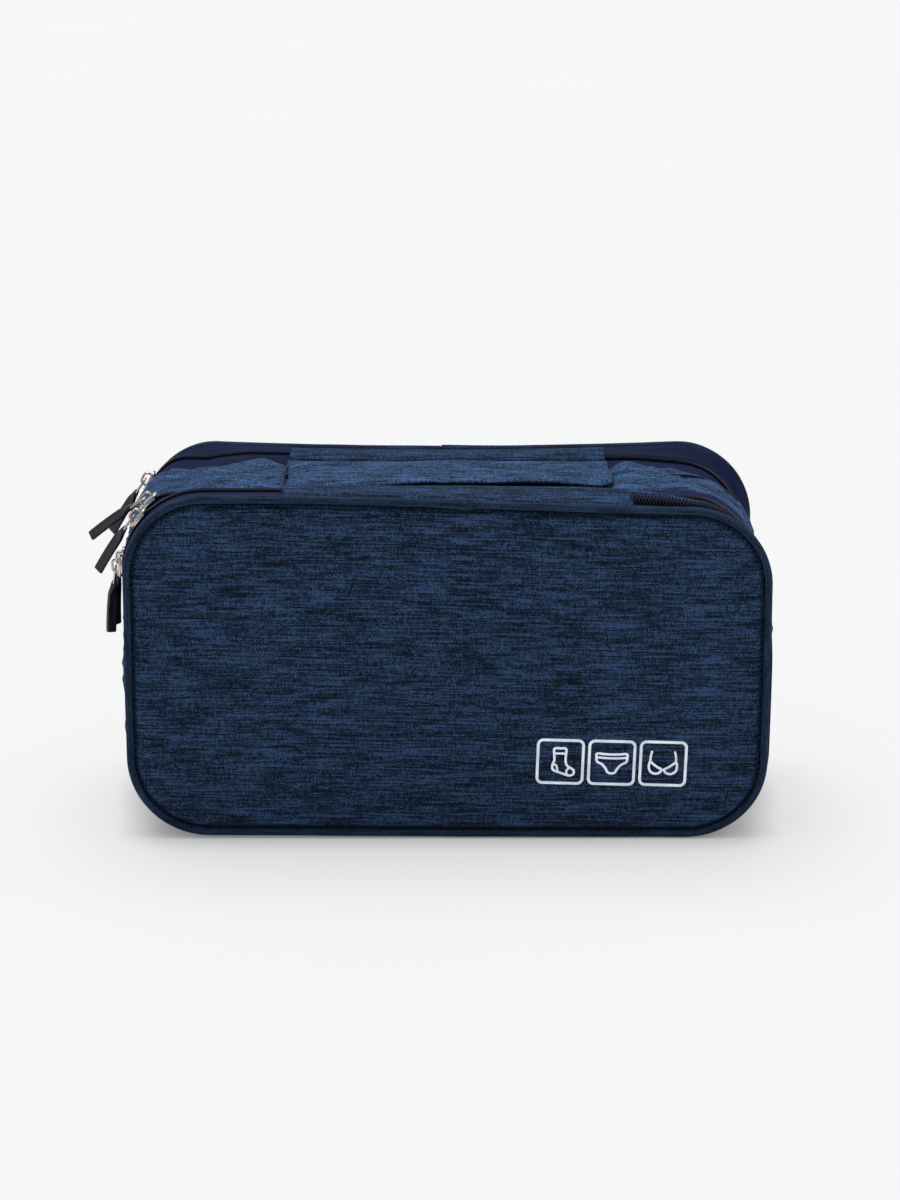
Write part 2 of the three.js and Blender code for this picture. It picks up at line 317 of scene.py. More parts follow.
# ---------------------------------------------------------------- materials
class Shader:
    """One node material, built a node at a time round a Principled surface."""

    def __init__(self, name):
        self.material = bpy.data.materials.new(name)
        self.material.use_nodes = True
        self.nodes = self.material.node_tree.nodes
        self.links = self.material.node_tree.links
        self.nodes.clear()
        self.surface = self.node("ShaderNodeBsdfPrincipled")
        output = self.node("ShaderNodeOutputMaterial")
        self.links.new(self.surface.outputs[0], output.inputs["Surface"])

    def node(self, kind, inputs=(), **settings):
        """A new node. inputs holds a number, a colour or a socket for each input's name or place."""
        made = self.nodes.new(kind)
        for key, value in settings.items():
            setattr(made, key, value)
        for key, value in dict(inputs).items():
            self.put(made.inputs[key], value)
        return made

    def put(self, socket, value):
        if isinstance(value, bpy.types.NodeSocket):
            self.links.new(value, socket)
        else:
            socket.default_value = value

    def finish(self, **inputs):
        for key, value in inputs.items():
            self.put(self.surface.inputs[key.replace("_", " ")], value)
        return self.material

    def math(self, operation, *values):
        return self.node("ShaderNodeMath", enumerate(values), operation=operation).outputs[0]

    def point(self, *values):
        return self.node("ShaderNodeCombineXYZ", enumerate(values)).outputs[0]

    def cloth_mm(self):
        """The cloth's own coordinates in millimetres: u along the weft, v along the warp."""
        uv = self.node("ShaderNodeUVMap", uv_map="cloth").outputs[0]
        parts = self.node("ShaderNodeSeparateXYZ", {0: uv}).outputs
        return [self.math("DIVIDE", parts[i], MM) for i in range(2)]

    def object_mm(self):
        place = self.node("ShaderNodeTexCoord").outputs["Object"]
        return self.node("ShaderNodeVectorMath", {0: place, "Scale": 1 / MM}, operation="SCALE").outputs[0]

    def noise(self, vector, scale=1.0, detail=2.0, rough=0.5):
        inputs = {"Vector": vector, "Scale": scale, "Detail": detail, "Roughness": rough}
        return self.node("ShaderNodeTexNoise", inputs).outputs[0]

    def speck(self, vector):
        return self.node("ShaderNodeTexWhiteNoise", {"Vector": vector}).outputs["Value"]

    def ramp(self, value, stops):
        made = self.node("ShaderNodeValToRGB", {0: value})
        elements = made.color_ramp.elements
        while len(elements) < len(stops):
            elements.new(0.5)
        for element, (place, colour) in zip(elements, stops):
            element.position = place
            element.color = (*colour, 1.0)
        return made.outputs[0]

    def blend(self, factor, a, b):
        """a where factor is 0, b where it is 1, for single numbers."""
        return self.node("ShaderNodeMix", {0: factor, 2: a, 3: b}, data_type="FLOAT").outputs[0]

    def bump(self, height, distance_mm, strength=1.0, normal=None):
        inputs = {"Height": height, "Distance": distance_mm * MM, "Strength": strength}
        if normal is not None:
            inputs["Normal"] = normal
        return self.node("ShaderNodeBump", inputs).outputs[0]


def weave_height(shader, u, v, u_pitch, v_pitch):
    """Over and under of a plain weave: the product of two waves, one thread wide each."""
    waves = [
        shader.math("SINE", shader.math("MULTIPLY", axis, math.pi / pitch))
        for axis, pitch in ((u, u_pitch), (v, v_pitch))
    ]
    return shader.math("MULTIPLY", *waves)


def streaks(shader, u, u_size, v, v_size, seed=0.0, detail=2):
    """Noise stretched to u_size by v_size."""
    place = shader.point(shader.math("DIVIDE", u, u_size), shader.math("DIVIDE", v, v_size), seed)
    return shader.noise(place, detail=detail)


def heather(name, dark, middle, light, spread):
    """Melange polyester. Each weft and warp thread has its own run of light and dark, and shows where it lies
    on top. Broader bands gather the weft into streaks."""
    shader = Shader(name)
    weft_pitch, warp_pitch, next_thread = 0.70, 0.80, 1 / 0.71
    u, v = shader.cloth_mm()
    row = shader.math("FLOOR", shader.math("DIVIDE", v, weft_pitch))
    column = shader.math("FLOOR", shader.math("DIVIDE", u, warp_pitch))
    patch = streaks(shader, u, 34.0, v, 7.0, 4.0)
    band = streaks(shader, u, 22.0, v, 0.85, 1.0)
    weft = streaks(shader, u, 13.0, row, next_thread, 9.0, 3)
    warp = streaks(shader, column, next_thread, v, 5.0, 5.0)
    over = shader.math("PINGPONG", shader.math("ADD", row, column), 1.0)
    fleck = shader.speck(shader.point(row, column))
    top = shader.blend(over, weft, shader.blend(0.35, warp, weft))
    tone = shader.math("MULTIPLY", top, 0.42)
    for part, weight in ((band, 0.34), (patch, 0.14), (fleck, 0.10)):
        tone = shader.math("ADD", tone, shader.math("MULTIPLY", part, weight))
    colour = shader.ramp(tone, [(0.5 - spread, dark), (0.5, middle), (0.5 + spread, light)])
    weave = shader.bump(weave_height(shader, u, v, warp_pitch, weft_pitch), 0.20, 0.8)
    uneven = shader.bump(shader.math("ADD", band, weft), 0.20, 0.5, weave)
    return shader.finish(
        Base_Color=colour, Roughness=0.9, Normal=uneven, Specular_IOR_Level=0.08,
        Sheen_Weight=0.06, Sheen_Roughness=0.5, Sheen_Tint=(0.3, 0.55, 1.0, 1.0),
    )


def plain_cloth(name, colour, pitch, rough=0.7, ribs=0.0, sheen=0.15):
    """A smooth cloth or tape with a fine weave. If ribs is given, it has ridges that far apart."""
    shader = Shader(name)
    u, v = shader.cloth_mm()
    shade = streaks(shader, u, 11.0, v, 3.0, detail=4)
    thread = shader.speck(shader.point(shader.math("FLOOR", shader.math("DIVIDE", v, pitch)), 3.0))
    tone = shader.math("ADD", shader.math("MULTIPLY", shade, 0.7), shader.math("MULTIPLY", thread, 0.3))
    dim, bright = [tuple(c * k for c in colour) for k in (0.72, 1.3)]
    tint = shader.ramp(tone, [(0.3, dim), (0.7, bright)])
    normal = shader.bump(weave_height(shader, u, v, pitch, pitch), 0.06, 0.6)
    if ribs:
        ridge = shader.math("SINE", shader.math("MULTIPLY", v, 2 * math.pi / ribs))
        normal = shader.bump(ridge, 0.12, 0.6, normal)
    return shader.finish(
        Base_Color=tint, Roughness=rough, Normal=normal, Specular_IOR_Level=0.15,
        Sheen_Weight=sheen, Sheen_Roughness=0.4, Sheen_Tint=(0.4, 0.5, 1.0, 1.0),
    )


def moulded(name, colour, rough, grain_mm, depth_mm, metal=0.0, **more):
    """A solid finish: slight variation of colour and roughness, and a grain in the surface."""
    shader = Shader(name)
    place = shader.object_mm()
    grain = shader.noise(place, 1 / grain_mm, detail=4, rough=0.6)
    drift = shader.noise(place, 1 / 7.0, detail=2)
    dim, bright = [tuple(c * k for c in colour) for k in (0.85, 1.12)]
    tint = shader.ramp(drift, [(0.35, dim), (0.65, bright)])
    uneven = shader.math("ADD", rough - 0.06, shader.math("MULTIPLY", grain, 0.12))
    normal = shader.bump(grain, depth_mm, 0.7)
    return shader.finish(Base_Color=tint, Roughness=uneven, Metallic=metal, Normal=normal, **more)


NAVY = ((0.0038, 0.0092, 0.0165), (0.0150, 0.0320, 0.0660), (0.0400, 0.0790, 0.1800))
BINDING_NAVY = ((0.0055, 0.0108, 0.0200), (0.0135, 0.0275, 0.0560), (0.0290, 0.0570, 0.1200))
PAINTED_SHEEN_GAIN = 1.7  # cloth that lies across the bag catches more light off its nap; that sheen is painted into its colour
HEATHER = heather("navy_heather", *NAVY, 0.075)
# A brighter copy of the same heather for the cloth cut across the bag: painted sheen, light off the nap put
# into the base colour.
CROSSWISE_PAINTED_SHEEN = heather(
    "navy_heather_crosswise_painted_sheen", *[[c * PAINTED_SHEEN_GAIN for c in colour] for colour in NAVY], 0.075
)
BOUND = heather("navy_binding", *BINDING_NAVY, 0.11)
LINING = plain_cloth("navy_lining", (0.012, 0.017, 0.045), 0.35, rough=0.55)
TAPE = plain_cloth("zip_tape", (0.0042, 0.0112, 0.0520), 0.4, rough=0.7, ribs=0.8, sheen=0.02)
ELASTIC = plain_cloth("ribbed_elastic", (0.010, 0.013, 0.032), 0.5, rough=0.65, ribs=1.3)
NET = plain_cloth("pocket_net", (0.012, 0.016, 0.040), 0.3, rough=0.6)
THREAD = plain_cloth("sewing_thread", (0.011, 0.020, 0.043), 0.2, rough=0.5)
COIL = moulded(
    "nylon_coil", (0.0015, 0.0028, 0.0090), 0.45, 0.6, 0.01,
    Specular_IOR_Level=0.25, Specular_Tint=(0.5, 0.65, 1.0, 1.0),
)
METAL = moulded("nickel_plate", (0.56, 0.53, 0.48), 0.27, 1.6, 0.004, metal=1.0)
RUBBER = moulded("moulded_rubber", (0.0085, 0.0105, 0.0175), 0.42, 0.35, 0.02, Specular_IOR_Level=0.6)
FOAM = moulded("closed_cell_foam", (0.62, 0.60, 0.56), 0.9, 0.9, 0.15)
# The print's own pale colour, plus a faint emission: a painted glow that brightens the ink.
INK_WITH_PAINTED_GLOW = moulded(
    "pale_ink_painted_glow", (0.86, 0.91, 0.98), 0.6, 0.5, 0.05,
    Emission_Color=(0.74, 0.82, 1.0, 1), Emission_Strength=0.14,
)


# ---------------------------------------------------------------- padded panels of the lids and the leaf
def panel_grid(inset, rows=57, columns=89):
    """x and z over the outline moved in by inset, closer together near the edges, then the distance to the
    edge, and a crown that is 1 in the middle and 0 at the edge."""
    half_x, half_z, radius = HALF_WIDTH - inset, HEIGHT / 2 - inset, CORNER - inset
    z = half_z * np.sin(np.linspace(-1, 1, rows) * np.pi / 2)[:, None]
    past = np.clip(np.abs(z) - (half_z - radius), 0, radius)
    limit = half_x - radius + np.sqrt(np.maximum(radius**2 - past**2, 0))
    spread = np.linspace(-1, 1, columns)
    x = limit * (0.35 * spread + 0.65 * np.sin(spread * np.pi / 2))[None, :]
    z = np.broadcast_to(z, x.shape)
    over_x, over_z = np.abs(x) - (half_x - radius), np.abs(z) - (half_z - radius)
    corner = np.hypot(np.maximum(over_x, 0), np.maximum(over_z, 0))
    depth = radius - corner - np.minimum(np.maximum(over_x, over_z), 0)
    crown = (1 - np.abs(x / half_x) ** 2.6) * (1 - np.abs(z / half_z) ** 2.6)
    return x, z + HEIGHT / 2, np.maximum(depth, 0), crown


def padded_panel(name, x, z, near, far):
    """A closed panel between the two levels near and far of y, over a grid of x and z."""
    faces = [np.stack(np.broadcast_arrays(x, y, z), -1) for y in (near, far)]
    return grid_solid(name, *faces, np.stack([x, z], -1))


def lid_cover(name, sign):
    """The heather panel: crowned by the foam, pulled down into a groove beside the binding."""
    edge, rise, crown_height, thick = LID_DEPTH - 5.0, 4.3, 1.5, 1.0
    x, z, depth, crown = panel_grid(LID_INSET + BINDING - 2.4, 81, 131)
    puff = crown_height * crown + 0.35 * ripple(x, z, 11 + sign, 95) * smooth(depth / 18)
    pucker = 0.22 * ripple(x, z, 15 + sign, 9) * np.exp(-(((depth - 3.0) / 2.5) ** 2))
    outer = edge + rise * smooth(depth / 4.0) ** 1.1 + puff + pucker
    return padded_panel(f"{name}_cover_cloth", x, z, sign * outer, sign * (outer - thick))


def lid_foam(name, sign):
    low, high = box_mm(f"{name}_foam")
    near, far = sorted((abs(low[1]), abs(high[1])))
    x, z = panel_grid(LID_INSET + BINDING + 4.0, 25, 41)[:2]
    return padded_panel(f"{name}_foam_sheet", x, z, sign * (far - 0.9), sign * near)


def lid_lining(name, sign):
    low, high = box_mm(f"{name}_lining")
    level = abs(low[1] + high[1]) / 2
    x, z, depth, crown = panel_grid(LID_INSET + BINDING - 0.6, 33, 57)
    sink = 0.35 + 0.35 * crown + 0.12 * ripple(x, z, 21, 60) * smooth(depth / 12)
    return padded_panel(f"{name}_lining_cloth", x, z, sign * (level + 0.3), sign * (level - sink))


def lid_binding(name, sign):
    """Heather bias binding round the edge, its ends lapped over each other on the top edge."""
    lap = 14.0
    start, step = (12.0, 0.40) if sign < 0 else (11.0, 0.24)
    way = track(start, start - lap, 3.0, 2.4)
    run = way[2]
    back = run[-1] - run
    under, over = (run, back) if sign > 0 else (back, run)
    size = 1 - step * (1 - between(under, lap - 1.0, lap)) + step * (1 - between(over, 0, 26))
    size = size + 0.025 * ripple(run, 0 * run, 31 + sign, 26)
    shape = rounded_section(1.8, 2.6, 16, 2.5)
    sections = shape[None] * size[:, None, None]
    sections[..., 0] -= LID_INSET + 1.75
    sections[..., 1] += sign * (LID_DEPTH - 2.5)
    return sweep(f"{name}_binding_cloth", way, sections)


def stitches(name, way, out, y):
    """A row of thread stitches along the outline, each a small rounded bar."""
    length, gap, thick = 2.4, 1.1, 0.28
    count = int(way[2][-1] / (length + gap))
    turn = np.linspace(0, 2 * np.pi, 6, endpoint=False)
    made = Shells()
    for i in range(count):
        rings = []
        for step, girth in ((-0.5, 0.35), (-0.36, 1.0), (0.36, 1.0), (0.5, 0.35)):
            x, z, nx, nz = on_track(way, (i + 0.5) * (length + gap) + step * length)
            shift = out + girth * thick * np.cos(turn)
            rings.append(np.stack([x + nx * shift, y + girth * thick * np.sin(turn), z + nz * shift], -1))
        made.rings(rings)
    bar_uvs = [(0, 0), (0, 1), (1, 1), (1, 0)] * 18 + [(0, 0)] * 12
    return mesh_object(name, np.array(made.points), made.faces, bar_uvs * count)


def pocket_net(name):
    """A fine open net over the lower part of the lid's lining, as crossing ribs."""
    low, high = box_mm(f"{name}_mesh_pocket")
    y, cell, rib = (low[1] + high[1]) / 2, 3.4, 0.28
    columns, rows = int((high[0] - low[0]) / cell), int((high[2] - low[2]) / cell)
    radius = CORNER - (HALF_WIDTH - high[0])
    x = np.linspace(low[0], high[0], columns + 1)[:, None]
    past = np.clip(np.abs(x) - (high[0] - radius), 0, radius)
    bottom = low[2] + radius - np.sqrt(radius**2 - past**2)
    z = bottom + (high[2] - bottom) * np.linspace(0, 1, rows + 1)
    shift = np.zeros(z.shape)
    shift[1:-1, 1::2] = cell / 2
    points = np.stack(np.broadcast_arrays(x + shift, y, z), -1).reshape(-1, 3)
    faces = quads(np.arange(len(points)).reshape(z.shape).T).tolist()
    net = mesh_object(f"{name}_pocket_net", points, faces, warp=False)
    wires = net.modifiers.new("ribs", "WIREFRAME")
    wires.thickness = rib * 2 * MM
    wires.use_boundary = True
    return net


def ribbed_band(name, node, ruffle, rows=9, columns=161):
    """A flat band of cloth across the bag, its faces a little crowned and gathered along its length."""
    low, high = box_mm(node)
    x, z = np.meshgrid(np.linspace(low[0], high[0], columns), np.linspace(low[2], high[2], rows))
    round_off = np.sqrt(np.clip(1 - np.abs(np.linspace(-1, 1, rows))[:, None] ** 6, 0.04, 1))
    wave = ruffle * np.sin(x * 2 * np.pi / 2.7) * (1 + 0.4 * ripple(x, 0 * x, 5, 22))
    middle, half = (low[1] + high[1]) / 2, (high[1] - low[1]) / 2
    sides = [np.stack([x, middle + side * half * round_off + wave, z], -1) for side in (-1, 1)]
    return grid_solid(name, *sides, np.stack([x, z], -1))


def build_lid(name, sign):
    body = f"{name}_lid"
    finish_piece(lid_cover(name, sign), HEATHER, body, f"{name}_cover")
    finish_piece(lid_binding(name, sign), BOUND, body, f"{name}_binding")
    finish_piece(lid_lining(name, sign), LINING, body, f"{name}_lining")
    seam_out, seam_y = -(LID_INSET + BINDING - 0.55), sign * (LID_DEPTH - 1.9)
    finish_piece(stitches(f"{name}_binding_stitches", track(0.0, 0.0), seam_out, seam_y), THREAD, body)
    finish_piece(pocket_net(name), NET, body, f"{name}_mesh_pocket")
    band = ribbed_band(f"{name}_pocket_band", f"{name}_pocket_elastic", 0.18)
    finish_piece(band, ELASTIC, body, f"{name}_pocket_elastic")
    finish_piece(lid_foam(name, sign), FOAM, body, f"{name}_foam")


build_lid("front", -1)
build_lid("rear", 1)


# ---------------------------------------------------------------- zips
def valley(places, left, right, shoulder, left_shoulder=None, sliders=True):
    """How far a zip or a cloth edge sinks below the outline, as a negative number: on the top's left, on its
    right and on both shoulders. A zip doesn't sink where the upper sliders run, on the left corner."""
    x, z = places.T
    low, high = (112, 156) if sliders else (152, 166)
    top = np.where(x < 0, between(z, low, high), between(z, 84, 150))
    if sliders:
        clear = between(x, -140, -118) if left_shoulder else between(x, -138, -119)
        top = top * np.where(x < 0, clear, 1)
    depth = left + (right - left) * between(x, -70, 80)
    if left_shoulder:
        depth = depth + (left_shoulder - left) * (1 - between(x, -122, -94))
    return -(depth + (shoulder - right) * between(x, 86, 122)) * top


def zip_tape(name, way, y_near, y_far, near, far):
    """A thin tape from beside the coil to the seam it is sewn into. near and far are its levels there."""
    half_thick, columns = 0.28, 8
    across = np.linspace(0, 1, columns)[None]
    run = way[2][:, None]
    level = near[:, None] + (far - near)[:, None] * smooth(across) ** 1.2
    level = level + 0.25 * np.sin(np.pi * across) * ripple(run, 17.0 * across, int(abs(y_far)), 30)
    y = np.broadcast_to(y_near + (y_far - y_near) * across, level.shape)
    top, bottom = [np.stack([level + side * half_thick, y], -1) for side in (1, -1)]
    return sweep(name, way, np.concatenate([top, bottom[:, ::-1]], 1))


def zip_coil(name, way, plane_y, side, sink, slope):
    """One row of the coil: slanted loops that lap the parting plane between the loops of the other row."""
    pitch, reach, slant, lap = 1.6, 2.7, 1.8, 0.6
    level, half_wide, half_tall = -1.7, 0.33, 0.85
    run = way[2]
    offset = 0.0 if side < 0 else pitch / 2
    count = int((run[-1] - offset) / pitch)
    stops = np.array([-0.12, 0.0, 0.25, 0.8, 1.0, 1.1])
    girth = np.array([0.35, 0.9, 1.0, 1.0, 0.8, 0.3])[None, :, None]
    at = (offset + (np.arange(count) + 0.5) * pitch)[:, None] + slant * (stops - 0.5)
    x, z, nx, nz = [values[..., None] for values in on_track(way, at)]
    y = side * (reach * (1 - stops) - lap)
    drop = np.interp(at, run, sink) + np.interp(at, run, slope) * y
    turn = np.linspace(0, 2 * np.pi, 6, endpoint=False)
    out = level + drop[..., None] + half_tall * girth * np.sin(turn)
    along = half_wide * girth * np.cos(turn)
    y = np.broadcast_to((plane_y + y)[None, :, None], out.shape)
    made = Shells()
    for loop in np.stack([x + nx * out - nz * along, y, z + nz * out + nx * along], -1):
        made.rings(loop)
    return mesh_object(name, np.array(made.points), made.faces)


LID_SEAM = LID_DEPTH - BINDING - 0.4
# Sinks on the top's left, on its right, on the right shoulder and, for the rear zip, on the left shoulder.
FRONT_SINK = (0.3, 2.0, 4.4)
LEAF_SINK = (4.0, 3.0, 7.9)
MIDDLE_SINK = (6.8, 7.4, 8.0)
GUSSET_FRONT_SINK = (6.8, 6.8, 7.5)
GUSSET_REAR_SINK = (9.6, 10.0, 12.5)
REAR_SINK = (2.8, 5.0, 8.0, 5.9)
NO_SINK = (0, 0, 0)


def zip_half(name, body, plane_y, side, strip, sink, seam, tilt=0.0):
    """One tape with its row of coil. seam is the y, the sink and the inset of the edge the tape is sewn to,
    tilt how steeply the two rows climb towards the back on the top's right."""
    seam_y, seam_sink, inset = seam
    way = track(strip[0] + 1.5, strip[1] - 1.5, 4.0, 2.6)
    drop = valley(way[0], *sink)
    far = valley(way[0], *seam_sink, sliders=False) - inset
    slope = tilt * between(way[0][:, 0], -20, 85) * between(way[0][:, 1], 120, 160)
    near = drop - 2.5 + slope * side * 2.2
    tape = zip_tape(f"{name}_tape_cloth", way, plane_y + side * 0.35, seam_y, near, far)
    finish_piece(tape, TAPE, body, f"{name}_tape")
    coil = zip_coil(f"{name}_coil_turns", way, plane_y, side, drop, slope)
    finish_piece(coil, COIL, body, f"{name}_coil")


# Every tape runs on a little past the edge it is sewn to, so that no light shows through the seam.
FRONT_TILT, REAR_TILT = 0.45, 0.3
front, middle, rear = [
    (FRONT_ZIP_Y, FRONT_STRIP, FRONT_SINK), (MIDDLE_ZIP_Y, BODY_STRIP, MIDDLE_SINK),
    (REAR_ZIP_Y, BODY_STRIP, REAR_SINK),
]
for name, body, (plane_y, strip, sink), side, tilt, *seam in (
    ("front_zip_lid", "front_lid", front, -1, FRONT_TILT, -LID_SEAM - 1.6, NO_SINK, 3.2),
    ("front_zip_leaf", "middle_leaf", front, 1, FRONT_TILT, LEAF_Y[0] + 1.0, LEAF_SINK, 2.6),
    ("middle_zip_leaf", "middle_leaf", middle, -1, 0.0, LEAF_Y[1] - 1.0, LEAF_SINK, 2.6),
    ("middle_zip_body", "bag_body", middle, 1, 0.0, GUSSET_Y[0] + 1.5, GUSSET_FRONT_SINK, 1.2),
    ("rear_zip_body", "bag_body", rear, -1, REAR_TILT, GUSSET_Y[1] - 1.5, GUSSET_REAR_SINK, 1.2),
    ("rear_zip_lid", "rear_lid", rear, 1, REAR_TILT, LID_SEAM + 1.6, NO_SINK, 3.0),
):
    zip_half(name, body, plane_y, side, strip, sink, seam, tilt)


# ---------------------------------------------------------------- the middle leaf
def leaf_edge():
    """The bound edge of the leaf. Along the top it tucks under the two hinge strips that are sewn to it."""
    way = track(0.0, 0.0)
    x, z = way[0].T
    tuck = between(z, HEIGHT - 3, HEIGHT) * between(x, FRONT_STRIP[0] - 8, FRONT_STRIP[0] - 1)
    tuck = tuck * (1 - between(x, BODY_STRIP[1] + 1, BODY_STRIP[1] + 8))
    sections = np.repeat(rounded_section(1.5, 1.75, 12, 2.2)[None], len(x), 0)
    sections[..., 0] += (valley(way[0], *LEAF_SINK, sliders=False) - 2.6 - 0.8 * tuck)[:, None]
    sections[..., 1] += sum(LEAF_Y) / 2
    return sweep("leaf_edge_cloth", way, sections)


def leaf_panel():
    """The leaf's lining on both sides, its top edge as low as the binding there."""
    low, high = box_mm("leaf_panel")
    x, z, depth, crown = panel_grid(3.6, 33, 57)
    near, far = [
        0.3 * crown + 0.15 * ripple(x, z, seed, 70) * smooth(depth / 10) for seed in (41, 43)
    ]
    top = np.stack([x.ravel(), np.full(x.size, HEIGHT)], -1)
    sink = (1.5 - valley(top, *LEAF_SINK, sliders=False).reshape(x.shape)) * between(z, 70, 160)
    return padded_panel("leaf_panel_cloth", x, z - sink, low[1] - near, high[1] + far)


finish_piece(leaf_edge(), CROSSWISE_PAINTED_SHEEN, "middle_leaf", "leaf_edge")
finish_piece(leaf_panel(), LINING, "middle_leaf", "leaf_panel")


# ---------------------------------------------------------------- hinge strips
def hinge_strip(side, x_range, y_range, heights, seed, tuck=0.0, falls=(0.0, 0.0)):
    """A cloth strip over a hinge. heights is how far its front edge, middle and back edge lie below the top,
    tuck how far the front edge dives into the seam, falls how much lower both edges are at the right."""
    columns, rows, thick = 97, 13, 0.9
    x, across = np.meshgrid(np.linspace(*x_range, columns), np.linspace(0, 1, rows))
    y = y_range[0] + (y_range[1] - y_range[0]) * across
    front, middle, back = heights
    z = HEIGHT - front * (1 - across) * (1 - 2 * across) - 4 * middle * across * (1 - across)
    z = z - back * across * (2 * across - 1) + 0.25 * ripple(x, y, seed, 46) * np.sin(np.pi * across)
    z = z - between(x, 5, 85) * (falls[0] * (1 - across) + falls[1] * across)
    z = z - tuck * (1 - smooth(across / 0.3))
    top = np.stack([x, y, z], -1)
    strip = grid_solid(f"{side}_strip_cloth", top, top - [0, 0, thick], np.stack([x, y], -1))
    finish_piece(strip, HEATHER, None, f"{side}_hinge_strip")
    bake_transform(strip)


LEAF_MIDDLE = sum(LEAF_Y) / 2
hinge_strip(
    "front", FRONT_STRIP, (-LID_SEAM - 0.8, LEAF_MIDDLE - 0.1), (3.0, 2.2, 2.4), 51,
    tuck=3.4, falls=(0.5, 1.9),
)
hinge_strip(
    "middle", BODY_STRIP, (LEAF_MIDDLE + 0.1, GUSSET_Y[0] + 1.5), (2.4, 4.0, 7.5), 52,
    falls=(1.9, 0.4),
)
hinge_strip(
    "rear", BODY_STRIP, (GUSSET_Y[1] - 1.5, LID_SEAM + 0.8), (6.0, 3.0, 3.2), 53
)


# ---------------------------------------------------------------- gusset
def folds(run, across, seed):
    """Creases that start at both seams and fade towards the middle, with longer slack folds between them."""
    seam_a = np.exp(-across / 0.16) * ripple(run, 10 * across, seed, 11)
    seam_b = np.exp(-(1 - across) / 0.16) * ripple(run, 10 * across, seed + 1, 10)
    slack = np.sin(np.pi * across) * ripple(run, 61 * across, seed + 2, 34)
    pinch = 1 - np.abs(ripple(run, 30 * across, seed + 3, 26))
    drag = np.sin(np.pi * across) ** 0.5 * ripple(run * 1.6 - 40 * across, 25 * across, seed + 4, 20)
    pinch = np.sin(np.pi * across) * pinch**3
    return 0.7 * (seam_a + seam_b) + 1.2 * slack + 1.2 * pinch + 0.6 * drag


def hump(places, x_at, x_half):
    """One soft mound on the top of the outline, round x_at."""
    x, z = places.T
    return np.exp(-(((x - x_at) / x_half) ** 2)) * between(z, 120, 160)


def gusset_grid(way, rows):
    """The gusset's outer surface: puffed between its seams, folded, with a mound at both ends of the top."""
    across = np.linspace(0, 1, rows)[None, :]
    y = GUSSET_Y[0] + (GUSSET_Y[1] - GUSSET_Y[0]) * across
    places, run = way[0], way[2]
    front = valley(places, *GUSSET_FRONT_SINK, sliders=False)[:, None]
    back = valley(places, *GUSSET_REAR_SINK, sliders=False)[:, None]
    crest = valley(places, 1.5, 1.2, 1.0, sliders=False)[:, None]
    puff = np.sin(np.pi * across) ** 0.75
    on_side = between(HEIGHT - places[:, 1], 8, 60)[:, None] * between(places[:, 1], 0, 25)[:, None]
    out = front + (back - front) * smooth(across) - 1.0
    out = out + puff * (1.4 + 1.6 * on_side - crest)
    left = hump(places, -91, 9)[:, None] * np.exp(-(((across - 0.86) / 0.22) ** 2)) * 5.0
    right = hump(places, 88, 9)[:, None] * np.exp(-(((across - 0.75) / 0.34) ** 2)) * 4.0
    above = between(places[:, 1], 1.5, 14)[:, None]
    corner = hump(places, -134, 5)[:, None] * np.exp(-(((across - 0.9) / 0.2) ** 2)) * 2.2
    sewn = smooth(across / 0.08) * smooth((1 - across) / 0.14)
    out = out + sewn * (left + right + corner + folds(run[:, None], across, 61) * (0.25 + 0.75 * above))
    crease = 1.8 * np.exp(-run / 2.2) + 5.0 * np.exp(-(run[-1] - run) / 2.2)
    out = out - crease[:, None] * np.sin(np.pi * across) ** 0.3
    return sweep_points(way, np.stack([out, np.broadcast_to(y, out.shape)], -1))


def gusset_piece(name, way, rows, thick, shift):
    """A cloth band round the bag, thick below its own outside, which is shift below the gusset's."""
    grid = gusset_grid(way, rows)
    outs = np.concatenate([way[1], np.zeros((len(way[1]), 1))], 1)[:, [0, 2, 1]]
    outer = grid - outs[:, None] * shift
    outer[..., 2] = np.maximum(outer[..., 2], 0.25 + shift)
    inner = outer - outs[:, None] * thick
    uv = np.stack(np.broadcast_arrays(way[2][:, None], grid[..., 1]), -1)
    return grid_solid(name, outer, inner, uv)


gusset_way = track(BODY_STRIP[0] - 0.3, BODY_STRIP[1] + 0.3, 2.2, 1.8)
gusset = gusset_piece("gusset_cloth", gusset_way, 41, 1.0, 0)
finish_piece(gusset, CROSSWISE_PAINTED_SHEEN, "bag_body", "gusset_wall")
lining_way = track(BODY_STRIP[0] - 0.3, BODY_STRIP[1] + 0.3, 5.0, 4.0)
gusset_lining = gusset_piece("gusset_lining_cloth", lining_way, 15, 0.5, 1.5)
finish_piece(gusset_lining, LINING, "bag_body", "gusset_lining")


def top_panel():
    """The flat of the gusset between the hinge strips, slack under the handle."""
    x, across = np.meshgrid(
        np.linspace(BODY_STRIP[0] - 1.0, BODY_STRIP[1] + 1.0, 91), np.linspace(0, 1, 21)
    )
    y = GUSSET_Y[0] - 0.5 + (GUSSET_Y[1] - GUSSET_Y[0] + 1.0) * across
    sink = 7.8 + 1.4 * smooth(across * 8) - 2.6 * between(across, 0.62, 0.96)
    top = np.stack([x, y, HEIGHT - sink + 0.3 * ripple(x, y, 71, 40)], -1)
    return grid_solid("top_panel_cloth", top, top - [0, 0, 1.2], np.stack([x, y], -1))


finish_piece(top_panel(), CROSSWISE_PAINTED_SHEEN, "bag_body", "gusset_top_panel")


# ---------------------------------------------------------------- handle
HANDLE_LOW, HANDLE_HIGH = box_mm("handle_strap")


